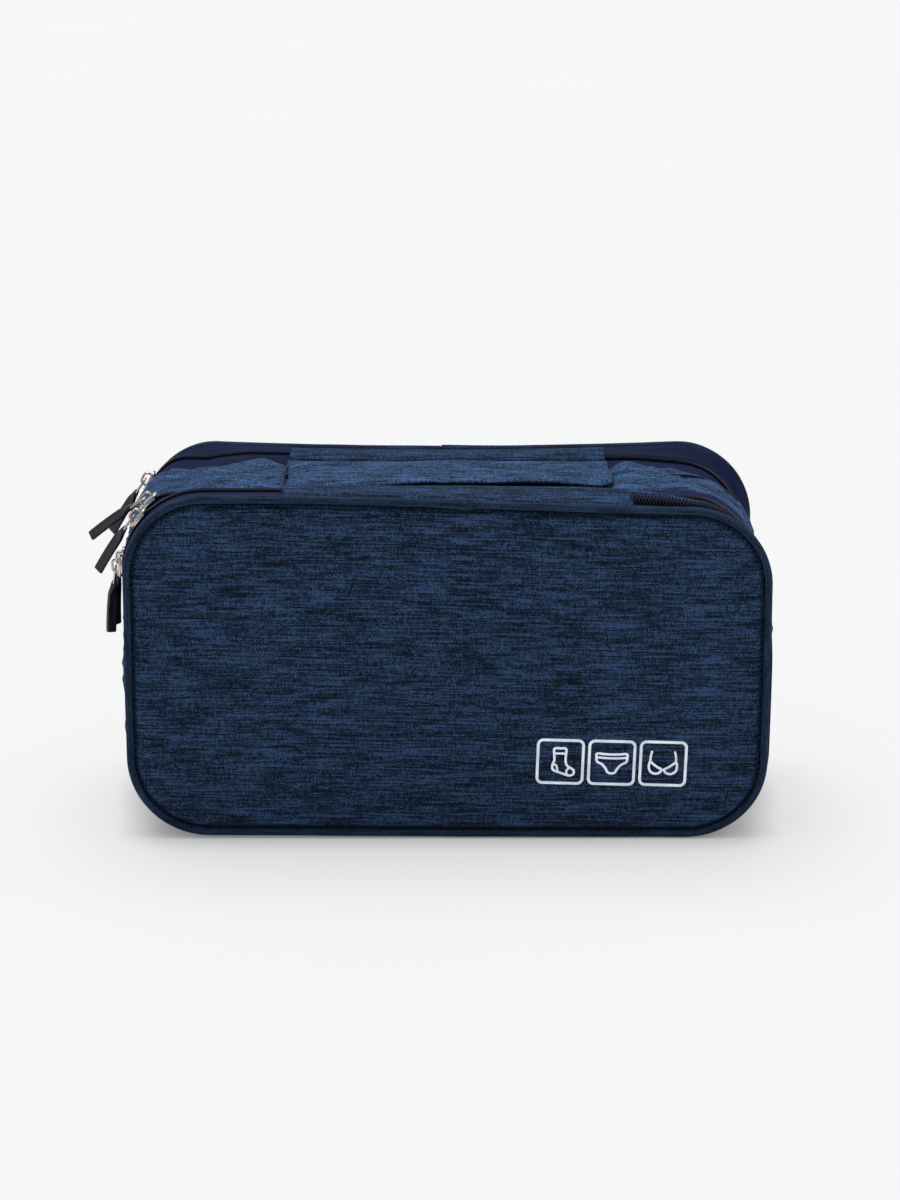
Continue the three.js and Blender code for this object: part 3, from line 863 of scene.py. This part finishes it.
def handle_half(name, x_range):
    """Half of the padded strap, tilted forward. Its right end is rounded, its left end sewn into the seam."""
    x, across = np.meshgrid(np.linspace(*x_range, 73), np.linspace(-1, 1, 25))
    front_edge = HANDLE_LOW[1] - 4.2 - 1.2 * (1 - between(x, -50, 0))
    middle = (front_edge + HANDLE_HIGH[1]) / 2
    half = (HANDLE_HIGH[1] - front_edge) / 2
    corner = 13.0
    over = np.clip(x - (HANDLE_HIGH[0] - corner), 0, corner)
    width = half - corner + np.sqrt(np.maximum(corner**2 - over**2, 0.3))
    y = middle + width * np.sin(across * np.pi / 2)
    tilt = (y - front_edge) / (2 * half)
    z = 162.3 + 2.7 * smooth(tilt * 0.62 + 0.12) / smooth(0.74)
    z = z + (1 - tilt) * (1.7 * between(x, -62, 0) * (1 - between(x, 50, 78)) - 1.0)
    ends = np.exp(-(HANDLE_HIGH[0] - x) / 5.0) + np.exp(-(x - HANDLE_LOW[0]) / 7.0)
    z = z - 1.6 * ends + 0.30 * ripple(x, y, 81, 48)
    quilt = 0.30 * np.exp(-(((np.abs(across) - 0.72) / 0.05) ** 2))
    pad = 1.55 * np.sqrt(1 - np.abs(np.sin(across * np.pi / 2)) ** 6) + 0.06
    pad = pad * (1 - 0.5 * np.clip(ends, 0, 1))
    drag = 0.35 * ripple(x * 0.35, y * 2.2 + 0.5 * x, 83, 26) * np.exp(-(x - HANDLE_LOW[0]) / 45.0)
    top = np.stack([x, y, z + pad - quilt + drag], -1)
    bottom = np.stack([x, y, z - 0.8 * pad], -1)
    half_piece = grid_solid(name, top, bottom, np.stack([x, y], -1))
    finish_piece(half_piece, CROSSWISE_PAINTED_SHEEN, None, "handle_strap")
    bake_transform(half_piece)


handle_half("handle_left_half", (HANDLE_LOW[0], 1.5))
handle_half("handle_right_half", (1.5, HANDLE_HIGH[0]))


# ---------------------------------------------------------------- inside: partition, dividers, strap
def cushion(name, low, high, thin, rows, columns):
    """A padded board with rounded edges. thin is the axis of its thickness."""
    a, b = [axis for axis in range(3) if axis != thin]
    u = low[a] + (high[a] - low[a]) * (1 - np.cos(np.linspace(0, np.pi, columns))) / 2
    v = low[b] + (high[b] - low[b]) * (1 - np.cos(np.linspace(0, np.pi, rows))) / 2
    u, v = np.meshgrid(u, v)
    depth = np.minimum(np.minimum(u - low[a], high[a] - u), np.minimum(v - low[b], high[b] - v))
    half = (high[thin] - low[thin]) / 2
    section = half * np.sqrt(np.clip(depth / half * (2 - depth / half), 0.02, 1))
    section = np.where(depth > half, half, section)
    groove = 0.3 * half * np.exp(-(((depth - 4.2) / 0.7) ** 2))
    thick = section - groove + 0.25 * between(depth, 5, 16)
    middle = (low[thin] + high[thin]) / 2
    sides = []
    for sign in (-1, 1):
        side = np.zeros((rows, columns, 3))
        side[..., a], side[..., b], side[..., thin] = u, v, middle + sign * thick
        sides.append(side)
    return grid_solid(name, *sides, np.stack([u, v], -1))


def partition():
    low, high = box_mm("partition_panel")
    x, z, depth, crown = panel_grid(HALF_WIDTH - high[0], 33, 57)
    thinning = 0.5 * (1 - smooth(depth / 2)) - 0.25 * crown
    return padded_panel("partition_cloth", x, z, low[1] + thinning, high[1] - thinning)


finish_piece(partition(), LINING, "bag_body", "partition_panel")
long_divider = cushion("long_divider_pad", *box_mm("divider_long"), 2, 21, 121)
finish_piece(long_divider, LINING, "bag_body", "divider_long")
for side in ("left", "right"):
    for level in ("lower", "upper"):
        node = f"divider_{side}_{level}"
        finish_piece(cushion(f"{node}_pad", *box_mm(node), 0, 41, 21), LINING, "bag_body", node)
strap = ribbed_band("rear_strap_band", "rear_elastic_strap", 0.12, 11, 141)
finish_piece(strap, ELASTIC, "bag_body", "rear_elastic_strap")


# ---------------------------------------------------------------- sliders and pulls
def shield(length, nose, tail):
    """The plan of a slider plate: wide rounded nose at -x, narrower tail at +x."""
    half = length / 2
    turn = np.linspace(-np.pi / 2, np.pi / 2, 9)
    left = np.stack([-half + nose * 0.62 * (1 - np.cos(turn)), -nose * np.sin(turn)], -1)
    right = np.stack([half - tail * 0.4 * (1 - np.cos(turn)), tail * np.sin(turn)], -1)
    return np.concatenate([left, right])


def slider_shells():
    """In the slider's own frame x runs along the track, y across it, and z out of the bag."""
    made = Shells()
    made.plate(shield(11.0, 3.4, 2.7), -0.75, 0.55, 0.3)
    made.plate(shield(9.6, 3.2, 2.5), -5.1, -4.1, 0.3)
    made.plate([(1.6, -0.5), (3.6, -0.25), (3.6, 0.25), (1.6, 0.5)], -4.4, -0.5, 0.05)
    for sign in (-1, 1):
        lip = [(-3.4, sign * 3.0, -1.0), (0, sign * 2.9, -1.05), (4.6, sign * 2.4, -1.0)]
        made.tube(lip, [(0, 0, 1)] * 3, 0.75, 0.38, sides=8)
    turn = np.linspace(0, np.pi, 17)
    c, s = np.cos(turn), np.sin(turn)
    arch = np.stack([-3.0 * np.sign(c) * np.abs(c) ** 0.55, 0 * c, 0.3 + 3.3 * s**0.55], -1)
    outward = arch - [0, 0, 1.2]
    outward /= np.linalg.norm(outward, axis=1)[:, None]
    made.tube(arch, outward, 0.6, 1.0, power=3.0)
    return made


def link_shells():
    """In a pull's own frame x runs from the pivot to the tab's free end, and y is the pivot."""
    made = Shells()
    radius, straight = 1.8, 5.4
    turn = np.radians(np.concatenate([90 + np.linspace(0, 180, 13), 270 + np.linspace(0, 180, 13)]))
    outward = np.stack([np.cos(turn), np.sin(turn), 0 * turn], -1)
    centres = np.repeat([[radius, 0, 0], [radius + straight, 0, 0]], 13, 0)
    made.tube(centres + radius * outward, outward, 0.5, 0.5, closed=True)
    return made


def tab_shells(twist):
    """A flat rubber tab with a neck, which turns about its own length just below the link."""
    made = Shells()
    stations = [
        (7.2, 0.7, 0.6), (7.5, 1.5, 1.0), (8.8, 1.9, 1.25), (10.2, 2.05, 1.2), (12.0, 2.2, 1.1),
        (13.4, 2.3, 1.05), (14.2, 2.35, 1.0), (20.0, 2.4, 1.0), (26.0, 2.4, 1.0), (31.3, 2.4, 1.0),
        (31.9, 2.35, 0.95), (32.1, 2.2, 0.8), (32.2, 1.9, 0.45),
    ]
    c, s = squircle(28, 7, 5)
    rings = []
    for x, half_y, half_z in stations:
        angle = math.radians(twist) * smooth((x - 8.2) / 6.0)
        dish = 1 - 0.18 * (np.abs(c) < 0.72) * (13.8 < x < 31)
        y, z = half_y * c, half_z * s * dish
        bend = 0.0024 * (x - 8) ** 2
        turned_y = y * math.cos(angle) - z * math.sin(angle)
        turned_z = y * math.sin(angle) + z * math.cos(angle)
        rings.append(np.stack([np.full(28, x), turned_y, turned_z + bend], -1))
    made.rings(rings)
    return made


def frame_matrix(origin, x_axis, z_axis):
    y_axis = np.cross(z_axis, x_axis)
    matrix = Matrix.Identity(4)
    for column, axis in enumerate((x_axis, y_axis, z_axis)):
        for row in range(3):
            matrix[row][column] = axis[row]
    matrix.translation = Vector(origin)
    return matrix


TWIST = {  # how far each tab has turned about its own length, in degrees
    "front_upper": -50, "front_lower": 54, "middle_upper": -46, "middle_lower": 24, "rear_upper": -48,
    "rear_lower": 30,
}


def build_slider(zip_name, place):
    """A slider on its track, and its pull of ring and rubber tab as it hangs at rest."""
    pivot = joint_mm(f"{zip_name}_{place}_pull_swing")
    if place == "upper":
        centre = joint_mm(f"{zip_name}_upper_slider_travel")
        outward = (pivot - centre) / np.linalg.norm(pivot - centre)
        base = centre + CORNER * outward
        along = np.array([-outward[2], 0, outward[0]])
    else:
        outward, along = np.array([-1.0, 0, 0]), np.array([0, 0, 1.0])
        base = np.array([-HALF_WIDTH, pivot[1], pivot[2]])
    name, body = f"{zip_name}_{place}", f"{zip_name}_{place}_pull"
    slider = slider_shells().make(f"{name}_slider_metal", frame_matrix(base, along, outward))
    finish_piece(slider, METAL, f"{name}_slider", f"{zip_name}_slider_{place}")
    tab_low, tab_high = box_mm(f"{zip_name}_pull_tab_{place}")
    hang = (tab_low + tab_high) / 2 - pivot
    hang /= np.linalg.norm(hang)
    pull = frame_matrix(pivot, hang, np.cross(hang, (0, 1, 0)))
    finish_piece(link_shells().make(f"{name}_pull_ring", pull), METAL, body, f"{zip_name}_pull_link_{place}")
    tab = tab_shells(TWIST[name]).make(f"{name}_pull_rubber", pull)
    finish_piece(tab, RUBBER, body, f"{zip_name}_pull_tab_{place}")


for zip_name in ("front", "middle", "rear"):
    for place in ("upper", "lower"):
        build_slider(zip_name, place)


# ---------------------------------------------------------------- printed pictograms
def smooth_path(points, closed=False, step=0.5):
    """A Catmull-Rom line through the points, sampled about every step."""
    points = np.array(points, float)
    count = len(points)
    out = []
    for i in range(count if closed else count - 1):
        near = [(i + k) % count if closed else min(max(i + k, 0), count - 1) for k in (-1, 0, 1, 2)]
        p0, p1, p2, p3 = points[near]
        pieces = max(2, int(np.linalg.norm(p2 - p1) / step))
        for t in np.arange(pieces) / pieces:
            out.append(
                0.5 * (2 * p1 + (p2 - p0) * t + (2 * p0 - 5 * p1 + 4 * p2 - p3) * t**2
                       + (3 * p1 - p0 - 3 * p2 + p3) * t**3)
            )
    if not closed:
        out.append(points[-1])
    return np.array(out)


def rounded_square(half, radius):
    corners = []
    for i, (sx, sy) in enumerate(((1, 1), (-1, 1), (-1, -1), (1, -1))):
        angle = np.radians(90 * i + np.linspace(0, 90, 9))
        centre = np.array([sx, sy]) * (half - radius)
        corners.append(centre + radius * np.stack([np.cos(angle), np.sin(angle)], -1))
    corners = np.concatenate(corners)
    path = []
    for a, b in zip(corners, np.roll(corners, -1, 0)):
        pieces = max(1, int(np.linalg.norm(b - a) / 0.8))
        path += [a + (b - a) * t / pieces for t in range(pieces)]
    return np.array(path)


# The pictograms' outlines and inner lines, in each one's own square.
SOCK = [
    [(-2.9, 6.4), (-2.9, 3.0), (-2.8, 0.6), (-3.6, -1.6), (-3.4, -3.9), (-1.4, -4.9), (1.2, -5.8),
     (4.0, -6.7), (6.2, -6.2), (6.5, -4.3), (5.0, -3.0), (3.2, -1.8), (2.5, 0.4), (2.5, 3.0), (2.5, 6.4),
     (0, 6.6)],
]
SOCK_LINES = [
    [(-2.8, 4.0), (0, 4.1), (2.4, 4.0)], [(-3.5, -1.4), (-1.8, -1.9), (-1.1, -4.7)],
    [(3.4, -6.4), (3.0, -4.6), (4.3, -2.8)],
]
BRIEFS = [
    [(-7.0, 4.4), (-3.5, 4.2), (0, 4.1), (3.5, 4.2), (7.0, 4.4), (7.2, 2.4), (6.8, 0.4), (4.6, -0.8),
     (2.8, -2.8), (1.7, -4.8), (0, -5.3), (-1.7, -4.8), (-2.8, -2.8), (-4.6, -0.8), (-6.8, 0.4), (-7.2, 2.4)],
]
BRIEFS_LINES = [[(-7.0, 2.6), (-3.5, 2.3), (0, 2.2), (3.5, 2.3), (7.0, 2.6)]]
BRA = [
    [(0.6, -3.0), (1.8, -4.7), (4.2, -5.0), (6.1, -3.6), (6.6, -1.4), (6.1, 0.7), (4.4, -0.5), (2.4, -1.9)],
]
BRA_LINES = [[(6.1, 0.7), (5.9, 3.4), (5.3, 6.2)], [(0.6, -3.0), (0.0, -3.1)]]


def mirrored(paths):
    return paths + [[(-x, y) for x, y in path] for path in paths]


PICTOGRAMS = {
    "sock": (SOCK, SOCK_LINES), "briefs": (BRIEFS, BRIEFS_LINES), "bra": (mirrored(BRA), mirrored(BRA_LINES)),
}


def icon_strokes(kind):
    """Strokes of a pictogram in its own square, as (path, closed, width)."""
    outlines, lines = PICTOGRAMS[kind]
    strokes = [(rounded_square(10.6, 2.5), True, 1.35)]
    strokes += [(smooth_path(path, True), True, 1.12) for path in outlines]
    strokes += [(smooth_path(path), False, 1.02) for path in lines]
    return strokes


def project_stroke(made, path, closed, width, place, tree):
    """A thin raised line of ink laid on the cover. place is the icon's centre and tilt."""
    cx, cz, tilt = place
    c, s = math.cos(tilt), math.sin(tilt)
    rim = np.stack([cx + path[:, 0] * c - path[:, 1] * s, cz + path[:, 0] * s + path[:, 1] * c], -1)
    rings = []
    for p, (tx, tz) in zip(rim, tangents(rim, closed)):
        ring = []
        for across, lift in ((-1, 0.5), (-1, -0.06), (-0.6, -0.14), (0.6, -0.14), (1, -0.06), (1, 0.5)):
            x, z = p + np.array([-tz, tx]) * across * width / 2
            hit = tree.ray_cast(Vector((x * MM, -0.2, z * MM)), Vector((0, 1, 0)))[0]
            ring.append((x, hit.y / MM + lift, z))
        rings.append(ring)
    made.rings(rings, closed)


cover = bpy.data.objects["front_cover_cloth"]
tree = BVHTree.FromPolygons([v.co for v in cover.data.vertices], [p.vertices for p in cover.data.polygons])
for kind, cx, cz in (("sock", 52.8, 38.6), ("briefs", 76.9, 37.9), ("bra", 101.0, 37.3)):
    made = Shells()
    for path, closed, width in icon_strokes(kind):
        project_stroke(made, path, closed, width, (cx, cz, math.radians(-1.9)), tree)
    icon = made.make(f"{kind}_pictogram", Matrix.Identity(4))
    icon.data.materials.append(INK_WITH_PAINTED_GLOW)
    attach(icon, "front_lid")


# ---------------------------------------------------------------- floor, light and camera
FLOOR_GLOW = 0.575  # the share of the seamless backdrop's brightness that shadows can't take away
FLOOR_REACH = 6.0


def studio_floor():
    """A pale backdrop: to the camera it glows a little, less where the bag stands close to it, which paints a
    contact shadow there.
    """
    shader = Shader("studio_floor")
    drift = shader.noise(shader.object_mm(), 1 / 400.0, detail=1)
    pale = shader.ramp(drift, [(0.3, (0.331, 0.330, 0.329)), (0.7, (0.339, 0.338, 0.337))])
    seen = shader.node("ShaderNodeLightPath").outputs["Is Camera Ray"]
    tint = shader.node("ShaderNodeMix", {0: seen, 6: (0.90, 0.90, 0.90, 1), 7: pale}, data_type="RGBA")
    # Painted contact shadow: ambient occlusion dims the floor's glow close under the bag.
    shade = shader.node("ShaderNodeAmbientOcclusion", {"Distance": 0.022}, samples=8)
    glow_outside_painted_shadow = shader.math("MULTIPLY_ADD", shade.outputs["AO"], 0.7, 0.3)
    glow = shader.math("MULTIPLY", shader.math("MULTIPLY", seen, FLOOR_GLOW), glow_outside_painted_shadow)
    material = shader.finish(
        Base_Color=tint.outputs[2], Roughness=0.9, Specular_IOR_Level=0.05,
        Emission_Color=(0.93, 0.93, 0.93, 1), Emission_Strength=glow,
    )
    mesh = bpy.data.meshes.new("floor")
    corners = [(x * FLOOR_REACH, y * FLOOR_REACH, 0) for x, y in ((-1, -1), (1, -1), (1, 1), (-1, 1))]
    mesh.from_pydata(corners, [], [(0, 1, 2, 3)])
    mesh.materials.append(material)
    return link(mesh)


def studio_sun():
    data = bpy.data.lights.new("soft_sun", "SUN")
    data.energy = 2.40
    data.angle = math.radians(50)
    sun = link(data)
    sun.rotation_euler = (math.radians(-12), math.radians(-5), 0)
    return sun


def studio_world():
    """Soft light from all sides; the camera sees it brighter, as a pale wall."""
    world = bpy.data.worlds.new("studio")
    bpy.context.scene.world = world
    world.use_nodes = True
    nodes, links = world.node_tree.nodes, world.node_tree.links
    nodes.clear()
    output = nodes.new("ShaderNodeOutputWorld")
    mix = nodes.new("ShaderNodeMixShader")
    path = nodes.new("ShaderNodeLightPath")
    links.new(path.outputs["Is Camera Ray"], mix.inputs[0])
    for socket, colour, strength in ((1, (0.96, 0.98, 1.0, 1), 0.44), (2, (0.905, 0.905, 0.905, 1), 1.0)):
        light = nodes.new("ShaderNodeBackground")
        light.inputs[0].default_value = colour
        light.inputs[1].default_value = strength
        links.new(light.outputs[0], mix.inputs[socket])
    links.new(mix.outputs[0], output.inputs[0])


def photo_camera():
    camera = link(bpy.data.cameras.new("camera"))
    camera.location = (0.0012, -1.4459, 0.5079)
    camera.rotation_euler = (math.radians(90 - 15.75), 0, 0)
    camera.data.lens = 93.6
    camera.data.clip_end = 50
    bpy.context.scene.camera = camera
    return camera


studio_world()
studio_floor()
studio_sun()
photo_camera()
bpy.context.scene.view_settings.view_transform = "Standard"
